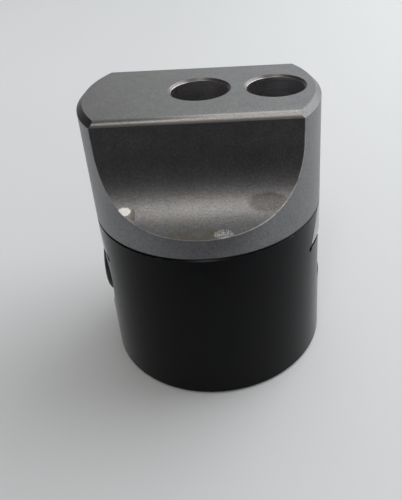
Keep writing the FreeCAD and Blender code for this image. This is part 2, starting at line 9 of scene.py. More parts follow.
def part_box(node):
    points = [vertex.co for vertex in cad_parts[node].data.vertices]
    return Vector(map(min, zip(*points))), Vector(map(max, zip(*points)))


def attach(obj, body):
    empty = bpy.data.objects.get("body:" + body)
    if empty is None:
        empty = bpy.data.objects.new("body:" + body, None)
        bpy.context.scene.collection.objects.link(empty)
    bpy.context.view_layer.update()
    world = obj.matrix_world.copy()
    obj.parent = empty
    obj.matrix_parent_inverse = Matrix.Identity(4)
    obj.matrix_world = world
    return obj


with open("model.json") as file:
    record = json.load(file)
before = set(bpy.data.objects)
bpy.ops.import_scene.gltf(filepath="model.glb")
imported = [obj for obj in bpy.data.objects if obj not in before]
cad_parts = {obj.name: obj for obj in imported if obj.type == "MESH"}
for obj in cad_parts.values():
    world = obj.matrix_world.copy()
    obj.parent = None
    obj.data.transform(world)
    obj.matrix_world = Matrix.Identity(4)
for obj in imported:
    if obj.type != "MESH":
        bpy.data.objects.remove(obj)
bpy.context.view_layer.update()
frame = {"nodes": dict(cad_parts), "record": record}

bl_info = {
    "name": "Boring head finishes",
    "version": (1, 0, 0),
    "blender": (4, 5, 0),
    "location": "View3D > Sidebar > Boring head",
    "description": "Gives a small boring head its finishes, its engraving, its threads and its stage",
    "category": "Object",
}

MM = 0.001
NODES = frame["nodes"]


def corners(node):
    """The lowest and highest corner of a part, in millimetres."""
    low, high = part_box(node)
    return low / MM, high / MM


def mount(name):
    """One of the head's mounts, as the record gives it."""
    return next(m for m in frame["record"]["mounts"] if m["name"] == name)


def mount_place(name):
    """Where a mount is, in millimetres."""
    return Vector(mount(name)["pos_m"]) / MM


# Places on the head, in millimetres from the centre of its bottom face.
HEAD_RADIUS = corners("body")[1].x
BODY_TOP = corners("body")[1].z
SHOULDER = BODY_TOP + 0.02
HEAD_TOP = corners("tool_slide")[1].z
FRONT_FLAT = -14.6
EDGE_ROUND = 1.3
SCOOP_TOP = HEAD_TOP - 5.6
SCOOP_RADIUS = 16.1
FRONT_SCOOP_AXIS = FRONT_FLAT - SCOOP_RADIUS
BORE_RADIUS = mount("centre_bore")["dims"]["r_mm"]
MOUTH_CHAMFER = 0.5
BORE_PLACES = (mount_place("centre_bore").x, mount_place("offset_bore").x)
FOOT_CHAMFER = 0.7
BODY_CHAMFER = 0.3
LEAD_HEIGHT = (corners("lead_screw")[0].z + corners("lead_screw")[1].z) / 2
DIAL_FACE = corners("dial")[0].x
DIAL_RADIUS = corners("dial")[1].y
POCKET_FLOOR = corners("lead_screw_bush")[0].x
POCKET_RADIUS = 11.5
ARBOR_RADIUS = mount("arbor_thread")["dims"]["r_mm"]

# The dial's engraving, in millimetres from the dial's axis, and its index line.
DIVISIONS = 50
INDEX_ANGLE = math.radians(90)
MARK_PROUD = 0.02
LINE_WIDTH = 0.14
LINE_OUTER = 8.2
LINE_LENGTH = 0.75
LONG_LINE_LENGTH = 1.15
NUMBER_SIZE = 1.35
NUMBER_RADIUS = 6.35
INDEX_WIDTH = 1.6 * LINE_WIDTH
INDEX_INNER = DIAL_RADIUS + 0.35
INDEX_OUTER = POCKET_RADIUS - 0.3

# The arbor's thread. Its outline goes across one ridge: how far up, as a share of the pitch.
THREAD_PITCH = 1.27
THREAD_HEIGHT = 0.42
THREAD_FOOT = 2.7
THREAD_TOP = 12.3
THREAD_SUNK = 0.05
THREAD_ROOT = 0.44
THREAD_CREST = 0.07
STEPS_PER_TURN = 96
RUN_OUT_STEPS = 24
PAD_HOLE_GAP = 0.5

# Marks on the front scoop: x, z, half width and half height of an oval, in millimetres.
# The first two are a painted glint, white in place of a lamp's reflection at the scoop's lower left
# corner, and a painted shadow beside it.
GLINT_SPOT = (-15.2, 45.35, 1.35, 0.62)
GLINT_SHADOW_SPOT = (-13.45, 44.9, 0.50, 0.85)
RUBBED_SPOT = (4.0, 42.15, 1.9, 0.45)
SMEAR = (12.6, 45.9, 4.0, 1.5)
STAIN = (-1.4, 42.0, 6.0, 0.9)

# The camera, in millimetres and in shares of the frame.
CAMERA_PLACE = (8.906, -119.928, 107.963)
CAMERA_SHIFT = (-0.090, -0.106)

# The stage, in metres.
FLOOR_REACH = 3.0
LIGHT_AIM = (0.0, 0.0, 0.03)
PANEL_PLACE = (-0.06, -0.55, 0.85)
PANEL_SIZE = 0.26
WINDOW_PLACE = (0.85, 0.45, 0.75)
WINDOW_SIZE = 1.30
WARM_LIGHT = (1.0, 0.97, 0.94)
COOL_LIGHT = (0.93, 0.96, 1.0)

# The dim card in front, in head radii: its half width, and the y and z of its bends.
CARD_HALF_WIDTH = 6
CARD_BENDS = ((-2.4, 0.04), (-4.2, 0.04), (-5.4, 1.6), (-5.8, 4.6))


class HeadColours(bpy.types.PropertyGroup):
    """The colours of the head's finishes."""

    steel: bpy.props.FloatVectorProperty(
        name="Blasted steel", description="The flats and the scoops of the slide", subtype="COLOR",
        size=3, min=0, max=1, default=(0.150, 0.147, 0.145))
    top_steel: bpy.props.FloatVectorProperty(
        name="Top steel", description="The finely ground top of the slide", subtype="COLOR",
        size=3, min=0, max=1, default=(0.200, 0.198, 0.192))
    round_steel: bpy.props.FloatVectorProperty(
        name="Round steel", description="The ground outside of the slide", subtype="COLOR",
        size=3, min=0, max=1, default=(0.200, 0.202, 0.208))
    bored_steel: bpy.props.FloatVectorProperty(
        name="Bored steel", description="The walls of the two bores", subtype="COLOR",
        size=3, min=0, max=1, default=(0.66, 0.64, 0.65))
    # Used for wear and also for painted highlights on the slide's edges.
    worn_steel: bpy.props.FloatVectorProperty(
        name="Worn steel", description="Steel where handling has burnished it", subtype="COLOR",
        size=3, min=0, max=1, default=(0.52, 0.49, 0.46))
    ground_steel: bpy.props.FloatVectorProperty(
        name="Ground steel", description="The gib, the pin and the dovetail faces", subtype="COLOR",
        size=3, min=0, max=1, default=(0.42, 0.42, 0.43))
    black_oxide: bpy.props.FloatVectorProperty(
        name="Black oxide", description="The body's blacking", subtype="COLOR",
        size=3, min=0, max=1, default=(0.0030, 0.0033, 0.0040))
    screw_black: bpy.props.FloatVectorProperty(
        name="Screw black", description="The set screws", subtype="COLOR",
        size=3, min=0, max=1, default=(0.020, 0.020, 0.022))
    bronze: bpy.props.FloatVectorProperty(
        name="Bronze", description="The nut, the bush, the washers and the pads", subtype="COLOR",
        size=3, min=0, max=1, default=(0.55, 0.33, 0.16))
    spring_steel: bpy.props.FloatVectorProperty(
        name="Spring steel", description="The wave washer and the retaining ring", subtype="COLOR",
        size=3, min=0, max=1, default=(0.20, 0.19, 0.19))
    mouth_steel: bpy.props.FloatVectorProperty(
        name="Mouth steel", description="The chamfers at the mouths of the two bores", subtype="COLOR",
        size=3, min=0, max=1, default=(0.20, 0.175, 0.155))
    smear: bpy.props.FloatVectorProperty(
        name="Smear", description="The dark smear in the front scoop", subtype="COLOR",
        size=3, min=0, max=1, default=(0.040, 0.036, 0.033))
    stain: bpy.props.FloatVectorProperty(
        name="Stain", description="The oily stain low in the front scoop", subtype="COLOR",
        size=3, min=0, max=1, default=(0.115, 0.100, 0.055))
    # Painted shade: the dark line of the gap between slide and body.
    grime: bpy.props.FloatVectorProperty(
        name="Grime", description="The dirt in the joint between slide and body", subtype="COLOR",
        size=3, min=0, max=1, default=(0.006, 0.006, 0.006))
    # A painted glint: white that stands in for a lamp's reflection at the front scoop's lower left
    # corner.
    chip: bpy.props.FloatVectorProperty(
        name="Chip", description="The chipped corner of the front scoop", subtype="COLOR",
        size=3, min=0, max=1, default=(0.95, 0.92, 0.86))
    # A painted shadow: the dark mark beside the painted glint.
    chip_shadow: bpy.props.FloatVectorProperty(
        name="Chip shadow", description="The dark mark beside the chipped corner", subtype="COLOR",
        size=3, min=0, max=1, default=(0.07, 0.05, 0.035))
    rubbed_black: bpy.props.FloatVectorProperty(
        name="Rubbed black", description="The body's edges where the blacking is rubbed", subtype="COLOR",
        size=3, min=0, max=1, default=(0.16, 0.15, 0.14))
    marking: bpy.props.FloatVectorProperty(
        name="Marking", description="The filling of the dial's lines and numbers", subtype="COLOR",
        size=3, min=0, max=1, default=(0.72, 0.71, 0.67))


class HeadStage(bpy.types.PropertyGroup):
    """The floor, the lights and the camera."""

    floor: bpy.props.FloatVectorProperty(
        name="Floor", description="The colour of the floor", subtype="COLOR",
        size=3, min=0, max=1, default=(0.80, 0.80, 0.79))
    panel_power: bpy.props.FloatProperty(
        name="Ceiling panel", description="Power of the panel above the front", subtype="POWER",
        min=0, default=1.7)
    window_power: bpy.props.FloatProperty(
        name="Window", description="Power of the soft light on the right", subtype="POWER",
        min=0, default=9.0)
    lens: bpy.props.FloatProperty(
        name="Lens", description="Focal length", subtype="DISTANCE_CAMERA", unit="CAMERA",
        min=1, default=44.22)
    azimuth: bpy.props.FloatProperty(
        name="Azimuth", description="Direction from which the camera looks", subtype="ANGLE",
        default=math.radians(0.213))
    elevation: bpy.props.FloatProperty(
        name="Elevation", description="How far the camera looks down", subtype="ANGLE",
        default=math.radians(31.04))
    roll: bpy.props.FloatProperty(
        name="Roll", description="How far the camera leans", subtype="ANGLE",
        default=math.radians(-2.92))


class Value:
    """A node's output that can be used in sums, each of which adds its own node."""

    def __init__(self, nodes, socket):
        self.nodes = nodes
        self.socket = socket

    def __add__(self, other):
        return self.nodes.math("ADD", self, other)

    def __radd__(self, other):
        return self.nodes.math("ADD", other, self)

    def __sub__(self, other):
        return self.nodes.math("SUBTRACT", self, other)

    def __rsub__(self, other):
        return self.nodes.math("SUBTRACT", other, self)

    def __mul__(self, other):
        return self.nodes.math("MULTIPLY", self, other)

    def __rmul__(self, other):
        return self.nodes.math("MULTIPLY", other, self)

    def __truediv__(self, other):
        return self.nodes.math("DIVIDE", self, other)

    def __pow__(self, other):
        return self.nodes.math("POWER", self, other)

    def __abs__(self):
        return self.nodes.math("ABSOLUTE", self)

    def clamp(self):
        """The same value, held between 0 and 1."""
        return self.nodes.node("ShaderNodeClamp", inputs={"Value": self})

    def rise(self, start, end):
        """0 at start and 1 at end, smooth in between. Start may be the higher one."""
        return self.nodes.node(
            "ShaderNodeMapRange", {"interpolation_type": "SMOOTHSTEP"},
            {"Value": self, "From Min": start, "From Max": end})

    def near(self, place, reach, soft):
        """1 within reach of a place, falling to 0 over the soft distance."""
        return abs(self - place).rise(reach + soft, reach)


class NodeMaker:
    """Adds nodes to the tree of one material or world."""

    def __init__(self, tree):
        self.tree = tree
        tree.nodes.clear()

    def node(self, kind, settings=None, inputs=None, output=0):
        """One node: its settings first, then its sockets' values or links."""
        made = self.tree.nodes.new(kind)
        for name, setting in (settings or {}).items():
            setattr(made, name, setting)
        for name, given in (inputs or {}).items():
            if isinstance(given, Value):
                self.tree.links.new(given.socket, made.inputs[name])
            else:
                made.inputs[name].default_value = given
        return Value(self, made.outputs[output]) if len(made.outputs) else None

    def math(self, operation, *numbers):
        """A sum of one to three values."""
        return self.node("ShaderNodeMath", {"operation": operation}, dict(enumerate(numbers)))

    def place(self):
        """Where the surface is on its part, as a vector in millimetres."""
        metres = self.node("ShaderNodeTexCoord", output="Object")
        return self.scaled(metres, 1 / MM)

    def normal(self):
        """The x, y and z of the surface's direction on its part."""
        return self.split(self.node("ShaderNodeTexCoord", output="Normal"))

    def scaled(self, vector, factor):
        """A vector times one number, or times three."""
        if isinstance(factor, (int, float)):
            factor = (factor,) * 3
        return self.node(
            "ShaderNodeVectorMath", {"operation": "MULTIPLY"}, {0: vector, 1: factor})

    def split(self, vector):
        """A vector's x, y and z."""
        separate = self.node("ShaderNodeSeparateXYZ", inputs={0: vector})
        return [Value(self, socket) for socket in separate.socket.node.outputs]

    def join(self, x, y, z):
        """A vector of three values."""
        return self.node("ShaderNodeCombineXYZ", inputs={0: x, 1: y, 2: z})

    def noise(self, vector, size, detail=2.0, rough=0.5):
        """Soft noise between 0 and 1, whose spots are about size across."""
        return self.node(
            "ShaderNodeTexNoise", {"noise_dimensions": "3D"},
            {"Vector": vector, "Scale": 1 / size, "Detail": detail, "Roughness": rough})

    def blend(self, factor, first, second):
        """A colour between two colours: the first at factor 0, the second at 1."""
        return self.node(
            "ShaderNodeMix", {"data_type": "RGBA"},
            {0: factor, 6: rgba(first), 7: rgba(second)}, output=2)

    def tint(self, colour, amount):
        """A colour made lighter or darker by an amount that varies round 1."""
        grey = self.join(amount, amount, amount)
        return self.node(
            "ShaderNodeMix", {"data_type": "RGBA", "blend_type": "MULTIPLY"},
            {0: 1.0, 6: rgba(colour), 7: grey}, output=2)

    def bump(self, height, depth):
        """A normal from a height between 0 and 1, that many millimetres deep."""
        return self.node(
            "ShaderNodeBump", inputs={"Height": height, "Distance": depth * MM, "Strength": 1.0})

    def surface(self, **sockets):
        """The shader and its output. Words in a socket's name are joined by underscores."""
        inputs = {name.replace("_", " ").title(): value for name, value in sockets.items()}
        inputs = {name.replace("Ior", "IOR"): value for name, value in inputs.items()}
        inputs["Base Color"] = rgba(inputs["Base Color"])
        shader = self.node("ShaderNodeBsdfPrincipled", inputs=inputs)
        self.node("ShaderNodeOutputMaterial", inputs={"Surface": shader})


def rgba(colour):
    """A colour with its alpha, or a link as it is."""
    return colour if isinstance(colour, Value) else (*tuple(colour)[:3], 1.0)


def new_material(name):
    """An empty material and the maker of its nodes."""
    material = bpy.data.materials.new(name)
    material.use_nodes = True
    return material, NodeMaker(material.node_tree)


def dress(node, material):
    """Gives a part its material and leaves its mesh alone."""
    NODES[node].data.materials[0] = material


def radius_about(x, y, across_x=0.0, across_y=0.0):
    """The distance from an axis that crosses the x and y given at that place."""
    return ((x - across_x) ** 2 + (y - across_y) ** 2) ** 0.5


def spot(n, x, z, oval):
    """1 in the middle of an oval spot, fading towards its ragged rim."""
    at_x, at_z, half_width, half_height = oval
    from_middle = (((x - at_x) / half_width) ** 2 + ((z - at_z) / half_height) ** 2) ** 0.5
    ragged = n.noise(n.join(x, z, at_x), 0.45, 2.0, 0.6)
    return (from_middle + (ragged - 0.5) * 0.7).rise(1.1, 0.75)


# ---------------------------------------------------------------- finishes


class SlideZones:
    """How far a point of the slide lies on each of its surfaces, from 0 to 1."""

    def __init__(self, n, here):
        x, y, z = n.split(here)
        facing_x, _, facing_z = n.normal()
        from_axis = radius_about(x, y)
        from_scoop = radius_about(y, z, FRONT_SCOOP_AXIS, SCOOP_TOP)
        self.head = z.rise(SHOULDER - 0.2, SHOULDER - 0.05)
        self.dovetail = 1 - self.head
        self.top = facing_z.rise(0.90, 0.99) * z.rise(HEAD_TOP - 0.3, HEAD_TOP - 0.1)
        self.outside = from_axis.rise(HEAD_RADIUS - 0.10, HEAD_RADIUS - 0.03) * self.head
        self.joint = z.rise(SHOULDER + 0.50, SHOULDER + 0.22) * self.outside
        self.scoop = from_scoop.near(SCOOP_RADIUS, 0.1, 0.1) * z.rise(SCOOP_TOP + 0.1, SCOOP_TOP - 0.5)
        self.arris = (from_scoop.near(SCOOP_RADIUS, 0.05, 0.08) * z.rise(SCOOP_TOP + 3, SCOOP_TOP)
                      * from_axis.rise(HEAD_RADIUS - 0.16, HEAD_RADIUS - 0.06))
        self.up_round = (z - (HEAD_TOP - EDGE_ROUND)) / EDGE_ROUND
        self.front_round = (y.rise(FRONT_FLAT + EDGE_ROUND + 0.1, FRONT_FLAT + EDGE_ROUND - 0.25)
                            * self.up_round.rise(0.0, 0.2) * abs(facing_x).rise(0.35, 0.10))
        self.near_front = y.rise(FRONT_FLAT + 4.6, FRONT_FLAT + 1.2) * self.top
        self.bores = 0.0
        self.mouths = 0.0
        for place in BORE_PLACES:
            from_bore = radius_about(x, y, place)
            self.bores = self.bores + from_bore.rise(BORE_RADIUS + 0.06, BORE_RADIUS + 0.02)
            self.mouths = self.mouths + from_bore.near(BORE_RADIUS + MOUTH_CHAMFER / 2, 0.26, 0.05)
        self.bores = self.bores.clamp()
        self.mouths = self.mouths * z.rise(HEAD_TOP - 0.6, HEAD_TOP - 0.5)


def edge_burnish(zones, x, strokes):
    """The rubbed front edge: a painted highlight as a thin line low on its round at its left, and wide
    scuffing at its right, which is wear and a painted highlight.
    """
    scuffed = x.rise(-13, 6)
    stray = zones.near_front * scuffed * strokes.rise(0.50, 0.75)
    painted_highlight_line = zones.front_round * zones.up_round.rise(0.75, 0.35) * (1 - scuffed * 0.4)
    scuff_and_highlight = zones.front_round * scuffed * (0.45 + strokes.rise(0.36, 0.56) * 0.55)
    return (painted_highlight_line * 0.75 + scuff_and_highlight * 1.0 + stray * 0.9).clamp()


def blasted_steel():
    """The slide: blasted flats and scoops, a ground outside, worn edges and bored holes, with painted
    highlights on its edges, a painted glint with a painted shadow, and painted shade in its joint.
    """
    colours = bpy.context.scene.head_colours
    material, n = new_material("blasted_steel")
    here = n.place()
    x, _, z = n.split(here)
    zones = SlideZones(n, here)
    grain = n.noise(here, 0.42, 3.0, 0.72)
    fine = n.noise(here, 0.20, 2.0, 0.6)
    cloud = n.noise(here, 7.0, 3.0, 0.55)
    blotch = n.noise(here, 2.2, 2.0, 0.5)
    strokes = n.noise(n.scaled(here, (1.0, 0.35, 0.35)), 0.15, 3.0, 0.7)
    bored = n.noise(n.scaled(here, (0.15, 0.15, 6.0)), 0.6, 3.0, 0.6)
    ground = n.noise(n.scaled(here, (0.05, 1.0, 1.0)), 0.20, 3.0, 0.6)

    # Wear, marks and painted light: the front edge, worn and with a painted highlight, the scoop's arris,
    # worn and with a painted highlight, a painted glint with a painted shadow beside it, a smear and a
    # stain.
    wear_and_highlight = edge_burnish(zones, x, strokes)
    # The scoop's arris: a burr, with a painted highlight along it that grows brighter towards the right.
    arris = zones.arris * (0.25 + x.rise(-4, 14) * 0.5) * blotch.rise(0.25, 0.55)
    chip = zones.scoop * spot(n, x, z, GLINT_SPOT)
    chip_shadow = zones.scoop * spot(n, x, z, GLINT_SHADOW_SPOT)
    rubbed = zones.scoop * spot(n, x, z, RUBBED_SPOT) * fine.rise(0.42, 0.60)
    smear = zones.scoop * spot(n, x, z, SMEAR)
    stain = zones.scoop * spot(n, x, z, STAIN) * blotch.rise(0.30, 0.55)
    glitter = fine.rise(0.60, 0.78) * (zones.scoop * (0.45 + x.rise(6, 14) * 0.35) + zones.top * 0.12)

    shade = 1.0 + (grain - 0.5) * 1.15 + (cloud - 0.5) * 0.30 + (blotch - 0.5) * 0.22
    colour = n.blend(zones.top, colours.steel, colours.top_steel)
    colour = n.tint(n.blend(zones.outside, colour, colours.round_steel), shade)
    colour = n.blend(smear * 0.55, colour, colours.smear)
    colour = n.blend(stain * 0.55, colour, colours.stain)
    # Wear, and painted highlights along the front edge and the scoop's arris.
    colour = n.blend(glitter + wear_and_highlight * 0.85 + arris + rubbed, colour, colours.worn_steel)
    colour = n.blend(zones.mouths * 0.5, colour, colours.mouth_steel)
    colour = n.blend(zones.bores, colour, n.tint(colours.bored_steel, 0.45 + bored * 1.1))
    colour = n.blend(zones.dovetail, colour, n.tint(colours.ground_steel, 0.65 + ground * 0.6))
    # Painted shade in the joint, on the slide just above the body.
    colour = n.blend(zones.joint, colour, colours.grime)
    # A painted glint, white and not metallic, and a painted shadow beside it.
    colour = n.blend(chip, colour, colours.chip)
    colour = n.blend(chip_shadow * 0.6, colour, colours.chip_shadow)

    rough = 0.38 + (fine - 0.5) * 0.10 + (cloud - 0.5) * 0.06 + zones.outside * 0.02 + wear_and_highlight * 0.04
    rough = rough - zones.mouths * 0.06 - zones.bores * 0.10 - zones.dovetail * 0.10
    matte = (1 - zones.bores) * (1 - zones.mouths * 0.8) * zones.head
    height = (grain * 0.7 + fine * 0.3) * matte * (1 - zones.outside * 0.6)
    height = height + strokes * wear_and_highlight * 1.6 + bored * zones.bores * 0.4 + ground * zones.dovetail * 0.4
    # The painted glint is not metallic, so that it stays white.
    n.surface(base_color=colour, metallic=1 - chip * 0.9, roughness=rough.clamp(),
              normal=n.bump(height, 0.030))
    return material


def black_oxide():
    """The body: satin black oxide over fine turning, rubbed at its sharp edges."""
    colours = bpy.context.scene.head_colours
    material, n = new_material("black_oxide")
    here = n.place()
    x, y, z = n.split(here)
    from_axis = radius_about(x, y)
    cloud = n.noise(here, 9.0, 3.0, 0.55)
    fine = n.noise(here, 0.10, 2.0, 0.6)
    turned = n.noise(n.scaled(here, (0.04, 0.04, 1.0)), 0.12, 2.0, 0.6)
    blotch = n.noise(here, 1.2, 3.0, 0.6)
    on_round = from_axis.rise(HEAD_RADIUS - 0.20, HEAD_RADIUS - 0.05)
    foot = z.near(FOOT_CHAMFER, 0.04, 0.10) * on_round
    rim = z.near(BODY_TOP - BODY_CHAMFER, 0.03, 0.08) * on_round
    rubbed = ((foot * 0.30 + rim * 0.22) * blotch.rise(0.45, 0.70)).clamp()
    shade = 1.0 + (cloud - 0.5) * 0.5 + (fine - 0.5) * 0.4
    colour = n.blend(rubbed, n.tint(colours.black_oxide, shade), colours.rubbed_black)
    rough = 0.36 + (cloud - 0.5) * 0.10 + (fine - 0.5) * 0.10 - rubbed * 0.1
    height = turned * 0.6 + fine * 0.4
    n.surface(base_color=colour, metallic=0.0, roughness=rough.clamp(), specular_ior_level=0.05,
              coat_weight=1.0, coat_roughness=0.22, coat_ior=1.13, normal=n.bump(height, 0.003))
    return material


def dial_black():
    """The dial: a finer black than the body's, turned on its face."""
    colours = bpy.context.scene.head_colours
    material, n = new_material("dial_black")
    here = n.place()
    x, y, z = n.split(here)
    rings = n.noise(n.join(radius_about(y, z, 0.0, LEAD_HEIGHT), x, 0.0), 0.10, 2.0, 0.6)
    fine = n.noise(here, 0.12, 2.0, 0.6)
    colour = n.tint(colours.screw_black, 0.8 + rings * 0.4)
    n.surface(base_color=colour, roughness=0.34 + (fine - 0.5) * 0.12, specular_ior_level=0.4,
              normal=n.bump(rings, 0.004))
    return material


def plain_metal(name, colour, roughness, grain_size, stretch, metallic=1.0, depth=0.004):
    """Ground, turned or sprung metal: fine lines along one direction, with soft staining."""
    material, n = new_material(name)
    here = n.place()
    lines = n.noise(n.scaled(here, stretch), grain_size, 3.0, 0.6)
    cloud = n.noise(here, 3.0, 3.0, 0.55)
    shaded = n.tint(colour, 0.72 + lines * 0.36 + cloud * 0.20)
    rough = roughness + (cloud - 0.5) * 0.14 + (lines - 0.5) * 0.08
    n.surface(base_color=shaded, metallic=metallic, roughness=rough.clamp(),
              normal=n.bump(lines, depth))
    return material


def floor_finish():
    """A pale floor with the faintest unevenness, and painted light that makes it paler towards the back
    and the right.
    """
    material, n = new_material("floor")
    here = n.place()
    cloud = n.noise(here, 90.0, 2.0, 0.5)
    x, y, _ = n.split(here)
    # Painted light: the floor is made paler towards the back and the right, where more light falls on it.
    painted_light_falloff = y.rise(-150, 200) * 0.16 + x.rise(-60, 120) * 0.10
    colour = n.tint(bpy.context.scene.head_stage.floor, 0.80 + painted_light_falloff + cloud * 0.03)
    n.surface(base_color=colour, roughness=0.75, specular_ior_level=0.25)
    return material


def marking_paint():
    """The pale filling of the dial's lines and numbers, a little worn."""
    material, n = new_material("marking_paint")
    here = n.place()
    worn = n.noise(here, 0.5, 3.0, 0.6)
    colour = n.tint(bpy.context.scene.head_colours.marking, 0.78 + worn * 0.32)
    n.surface(base_color=colour, metallic=0.0, roughness=0.50 + (worn - 0.5) * 0.20,
              normal=n.bump(worn, 0.004))
    return material


# ---------------------------------------------------------------- details


def add_piece(name, bm, body, material):
    """A detail built in millimetres, which moves with one of the head's bodies."""
    mesh = bpy.data.meshes.new(name)
    bmesh.ops.recalc_face_normals(bm, faces=bm.faces)
    bm.to_mesh(mesh)
    bm.free()
    mesh.transform(Matrix.Scale(MM, 4))
    mesh.materials.append(material)
    piece = bpy.data.objects.new(name, mesh)
    bpy.context.scene.collection.objects.link(piece)
    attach(piece, body)
    return piece


def add_line(bm, middle, angle, inner, outer, width):
    """A raised line that points away from an axis along x, clockwise from the top by an angle."""
    size = Matrix.Diagonal((2 * MARK_PROUD, width, outer - inner, 1.0))
    outwards = Matrix.Translation((0.0, 0.0, (inner + outer) / 2))
    turn = Matrix.Rotation(angle, 4, "X")
    bmesh.ops.create_cube(bm, size=1.0, matrix=Matrix.Translation(middle) @ turn @ outwards @ size)


def add_number(bm, number, middle, angle, radius):
    """A raised number that stands on the dial's face with its foot towards the hole."""
    text = bpy.data.curves.new("number", "FONT")
    text.body = str(number)
    text.size = NUMBER_SIZE
    text.align_x = "CENTER"
    text.align_y = "CENTER"
    text.extrude = MARK_PROUD
    letters = bpy.data.objects.new("number", text)
    shape = bpy.data.meshes.new_from_object(letters)
    facing_out = Matrix(((0, 0, -1, 0), (-1, 0, 0, 0), (0, 1, 0, 0), (0, 0, 0, 1)))
    turn = Matrix.Rotation(angle, 4, "X")
    shape.transform(Matrix.Translation(middle) @ turn @ Matrix.Translation((0, 0, radius)) @ facing_out)
    bm.from_mesh(shape)
    bpy.data.objects.remove(letters)
    bpy.data.meshes.remove(shape)
    bpy.data.curves.remove(text)


def add_dial_marks():
    """The dial's lines, longer at each fifth, a number at each tenth, and the body's index line."""
    middle = (DIAL_FACE, 0.0, LEAD_HEIGHT)
    bm = bmesh.new()
    for division in range(DIVISIONS):
        angle = INDEX_ANGLE + math.tau * division / DIVISIONS
        length = LINE_LENGTH if division % 5 else LONG_LINE_LENGTH
        add_line(bm, middle, angle, LINE_OUTER - length, LINE_OUTER, LINE_WIDTH)
        if division % 10 == 0:
            add_number(bm, division, middle, angle, NUMBER_RADIUS)
    bmesh.ops.remove_doubles(bm, verts=bm.verts, dist=0.0005)
    paint = marking_paint()
    add_piece("dial_marks", bm, "dial_spindle", paint)
    bm = bmesh.new()
    add_line(bm, (POCKET_FLOOR, 0.0, LEAD_HEIGHT), INDEX_ANGLE, INDEX_INNER, INDEX_OUTER, INDEX_WIDTH)
    add_piece("index_line", bm, "head_body", paint)


def thread_outline(step, steps):
    """The ridge's outline at one step of its way up: four corners, from its root to its root."""
    run_out = min(1.0, 0.05 + min(step, steps - step) / RUN_OUT_STEPS)
    crest = ARBOR_RADIUS - THREAD_HEIGHT * run_out
    wall = ARBOR_RADIUS + THREAD_SUNK
    angle = math.tau * step / STEPS_PER_TURN
    height = THREAD_FOOT + THREAD_PITCH * step / STEPS_PER_TURN
    outline = ((wall, -THREAD_ROOT), (crest, -THREAD_CREST), (crest, THREAD_CREST), (wall, THREAD_ROOT))
    return [(radius * math.cos(angle), radius * math.sin(angle), height + up * THREAD_PITCH)
            for radius, up in outline]


def add_arbor_thread():
    """The thread in the arbor bore: a helical ridge, broken where the lock screw's hole comes in."""
    pad_low, pad_high = corners("arbor_lock_pad")
    hole_height = (pad_low.z + pad_high.z) / 2
    hole_radius = pad_high.x + PAD_HOLE_GAP
    steps = round((THREAD_TOP - THREAD_FOOT) / THREAD_PITCH * STEPS_PER_TURN)
    runs = [[]]
    for step in range(steps + 1):
        angle = math.tau * step / STEPS_PER_TURN
        height = THREAD_FOOT + THREAD_PITCH * step / STEPS_PER_TURN
        across = ARBOR_RADIUS * math.cos(angle)
        if math.sin(angle) > 0 and math.hypot(across, height - hole_height) < hole_radius:
            runs.append([])
        else:
            runs[-1].append(thread_outline(step, steps))
    bm = bmesh.new()
    for run in runs:
        rings = [[bm.verts.new(corner) for corner in outline] for outline in run]
        for before, after in zip(rings, rings[1:]):
            for i in range(4):
                bm.faces.new((before[i], before[i - 1], after[i - 1], after[i]))
        if rings:
            bm.faces.new(rings[0])
            bm.faces.new(rings[-1])
    add_piece("arbor_thread_ridge", bm, "head_body", NODES["body"].data.materials[0])


# ---------------------------------------------------------------- stage


def look_from(azimuth, elevation, roll):
    """The camera's right, up and back directions as the columns of a matrix."""
    back = Vector((math.sin(azimuth) * math.cos(elevation),
                   -math.cos(azimuth) * math.cos(elevation), math.sin(elevation)))
    right = Vector((math.cos(azimuth), math.sin(azimuth), 0.0))
    up = back.cross(right)
    turned_right = right * math.cos(roll) + up * math.sin(roll)
    turned_up = up * math.cos(roll) - right * math.sin(roll)
    return Matrix((turned_right, turned_up, back)).transposed()


def add_camera():
    """The camera, looking down on the head from the front."""
    stage = bpy.context.scene.head_stage
    lens = bpy.data.cameras.new("camera")
    lens.sensor_width = 36.0
    lens.lens = stage.lens
    lens.shift_x, lens.shift_y = CAMERA_SHIFT
    lens.clip_start = 0.01
    camera = bpy.data.objects.new("camera", lens)
    turn = look_from(stage.azimuth, stage.elevation, stage.roll)
    camera.matrix_world = Matrix.Translation(Vector(CAMERA_PLACE) * MM) @ turn.to_4x4()
    bpy.context.scene.collection.objects.link(camera)
    bpy.context.scene.camera = camera


def add_soft_light(name, place, size, power, colour):
    """A square soft light at a place in metres, turned towards the head."""
    lamp = bpy.data.lights.new(name, "AREA")
    lamp.size = size
    lamp.energy = power
    lamp.color = colour
    light = bpy.data.objects.new(name, lamp)
    aim = Vector(LIGHT_AIM) - Vector(place)
    light.matrix_world = Matrix.Translation(place) @ aim.to_track_quat("-Z", "Y").to_matrix().to_4x4()
    bpy.context.scene.collection.objects.link(light)


def add_room():
    """The room as the head sees it: bright behind and on the right, dim on the left and in front."""
    world = bpy.data.worlds.new("room")
    world.use_nodes = True
    bpy.context.scene.world = world
    n = NodeMaker(world.node_tree)
    x, y, _ = n.split(n.node("ShaderNodeTexCoord", output="Generated"))
    side = x.rise(-0.8, 0.2)
    back = y.rise(-0.6, 0.5)
    level = 0.08 + side * (0.32 + back * 0.62)
    colour = n.blend(side, (1.0, 0.985, 0.96), COOL_LIGHT)
    shader = n.node("ShaderNodeBackground", inputs={"Color": colour, "Strength": level})
    n.node("ShaderNodeOutputWorld", inputs={"Surface": shader})


